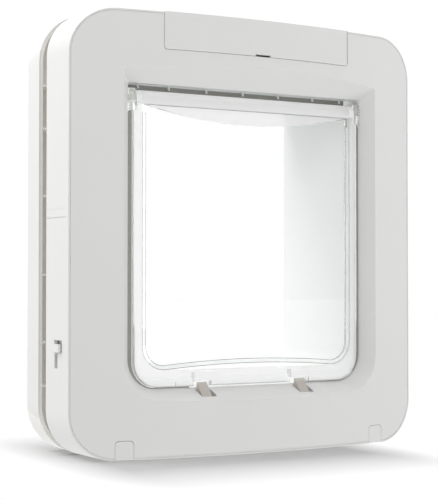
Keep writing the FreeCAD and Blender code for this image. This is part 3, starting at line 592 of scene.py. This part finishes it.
def middle_edge_line(name):
    """Thin bead of painted shade along the flap's lower edge, between the hoods over the latches."""
    low = flap_low.z + EDGE_R
    points = [(x, FLAP_FRONT + EDGE_R, low) for x in (-HOOD_INNER, HOOD_INNER)]
    return thin_line(name, points, "flap", EDGE_R, painted_edge_shade)


edge_lines = [
    bar_line("bar_line"),
    edge_line("edge_line_left", -1.0),
    edge_line("edge_line_right", 1.0),
    middle_edge_line("edge_line_middle"),
]
print("bar and edge lines", len(edge_lines))

# %% [markdown]
# At both ends of the flap's bar the opening has small clear clips, whose ribs sparkle in the picture. Each
# clip is a block with a toothed front, drawn as a profile in depth and height and stretched along the width.
# One sits in front of the hinge block and one under it, beside the flap, so that the flap swings past both.

# %% Hinge clips
CLIP_TEETH = 4
TOOTH_DEEP = 1.0 * MM
TOOTH_TIP = 0.35
CLIP_AIR = 0.5 * MM
CLIP_SEAT = 0.1 * MM


def ribbed_clip(name, low, high, teeth):
    """Clear block between two corners, toothed on the side that faces the room."""
    pitch = (high.z - low.z) / teeth
    profile = [(high.y, high.z), (high.y, low.z)]
    for tooth in range(teeth):
        profile.append((low.y + TOOTH_DEEP, low.z + tooth * pitch))
        profile.append((low.y, low.z + (tooth + TOOTH_TIP) * pitch))
    profile.append((low.y + TOOTH_DEEP, high.z))
    count = len(profile)
    points = [(x, y, z) for x in (low.x, high.x) for y, z in profile]
    faces = [tuple(range(count)), tuple(range(2 * count - 1, count - 1, -1))]
    for first in range(count):
        second = (first + 1) % count
        faces.append((second, first, first + count, second + count))
    mesh = bpy.data.meshes.new(name)
    mesh.from_pydata(points, [], faces)
    mesh.materials.append(clear_clip)
    clip = added(name, mesh)
    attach(clip, "base")
    return clip


clips = []
for side, end in (("left", -1.0), ("right", 1.0)):
    block_low, block_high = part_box("hinge_block_" + side)
    pile_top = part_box("pile_seal_" + side)[1].z
    cap_low = Vector((block_low.x, FLAP_FRONT + CLIP_AIR, block_low.z))
    cap_high = Vector((block_high.x, block_low.y - CLIP_SEAT, block_high.z))
    clips.append(ribbed_clip("hinge_cap_" + side, cap_low, cap_high, CLIP_TEETH))
    wall = max(abs(block_low.x), abs(block_high.x))
    left, right = sorted((end * (flap_high.x + CLIP_AIR), end * wall))
    rest_low = Vector((left, cap_low.y, pile_top + CLIP_SEAT))
    rest_high = Vector((right, block_high.y, block_low.z - CLIP_SEAT))
    clips.append(ribbed_clip("hinge_rest_" + side, rest_low, rest_high, CLIP_TEETH))
print("clips", len(clips))

# %% [markdown]
# The world is plain white for the camera and through glass. What lights the object is a bright backdrop
# behind it, which also reaches through the tunnel, and a dimmer room in front of it. The change from one to
# the other follows the depth of the direction.

# %% World
WORLD_FRONT = 0.25
WORLD_BEHIND = 1.0
WORLD_SEEN = 1.03
TURN_FROM = -0.25
TURN_WIDE = 0.6

studio = bpy.data.worlds.new("studio")
bpy.context.scene.world = studio
sky = Finish("studio", studio)
tint = (1.0, 1.0, 0.995, 1.0)
front = sky.node("ShaderNodeBackground", {}, {"Color": tint, "Strength": WORLD_FRONT})
behind = sky.node("ShaderNodeBackground", {}, {"Color": tint, "Strength": WORLD_BEHIND})
blank = sky.node("ShaderNodeBackground", {}, {"Color": WHITE, "Strength": WORLD_SEEN})
depth = sky.along("Y", sky.node("ShaderNodeTexCoord", {}, {}, "Generated"))
turned = ((depth - TURN_FROM) * (1.0 / TURN_WIDE)).clamped(0.0, 1.0)
around = sky.node("ShaderNodeMixShader", {}, {0: turned, 1: front, 2: behind})
sky.close(sky.node("ShaderNodeMixShader", {}, {0: sky.seen(), 1: around, 2: blank}), "ShaderNodeOutputWorld")
print("world", studio.name)

# %% [markdown]
# In the picture the left side of the housing is nearly white, and the face is an even light grey that is
# darkest at its left. The main lamp stands high over the camera, in the one direction from which light
# reaches into the gap for the panel. A small one close to the left side makes the upper part of that side
# the brightest. One far to the right lights the face from where it can't be mirrored in the flap towards the
# camera, and a wide one above lightens the slope under the flap.

# %% Lamps


def soft_lamp(name, place, aim, size, power):
    """Square lamp that points at a place on the object."""
    lamp = bpy.data.lights.new(name, "AREA")
    lamp.shape = "SQUARE"
    lamp.size = size
    lamp.energy = power
    made = added(name, lamp)
    made.location = place
    made.rotation_euler = (Vector(aim) - Vector(place)).to_track_quat("-Z", "Y").to_euler()
    return made


middle = (cad_low + cad_high) / 2.0
LAMPS = (
    ("side_lamp", (-0.7, 0.25, 0.9), 0.5, 3.6),
    ("room_lamp", (-0.9, -1.6, 1.3), 0.7, 8.0),
    ("face_lamp", (2.0, -1.1, 0.3), 0.8, 9.5),
    ("top_lamp", (0.1, -0.1, 1.6), 1.2, 12.0),
)
lamps = [soft_lamp(name, place, middle, size, power) for name, place, size, power in LAMPS]
print("lamps", len(lamps))

# %% [markdown]
# The camera stands to the left of the object and looks slightly up. Its place was found by fitting the
# straight edges of the housing in the picture to the model's edges.

# %% Camera
PICTURE_HEIGHT = 500.0
FOCAL_PIXELS = 1357.17
YAW = 29.59
PITCH = 1.30
CAMERA_PLACE = Vector((-463.71, -815.89, 112.11)) * MM

camera_data = bpy.data.cameras.new("camera")
camera = added("camera", camera_data)
bpy.context.scene.camera = camera
camera_data.sensor_width = 36.0
camera_data.lens = camera_data.sensor_width * FOCAL_PIXELS / PICTURE_HEIGHT
camera_data.clip_start = 0.05
camera_data.clip_end = 60.0
camera.location = CAMERA_PLACE
camera.rotation_euler = (math.radians(90.0 + PITCH), 0.0, math.radians(-YAW))
bpy.context.scene.view_settings.view_transform = "Standard"
print("camera at", [round(v, 3) for v in CAMERA_PLACE], "lens", round(camera_data.lens, 1))
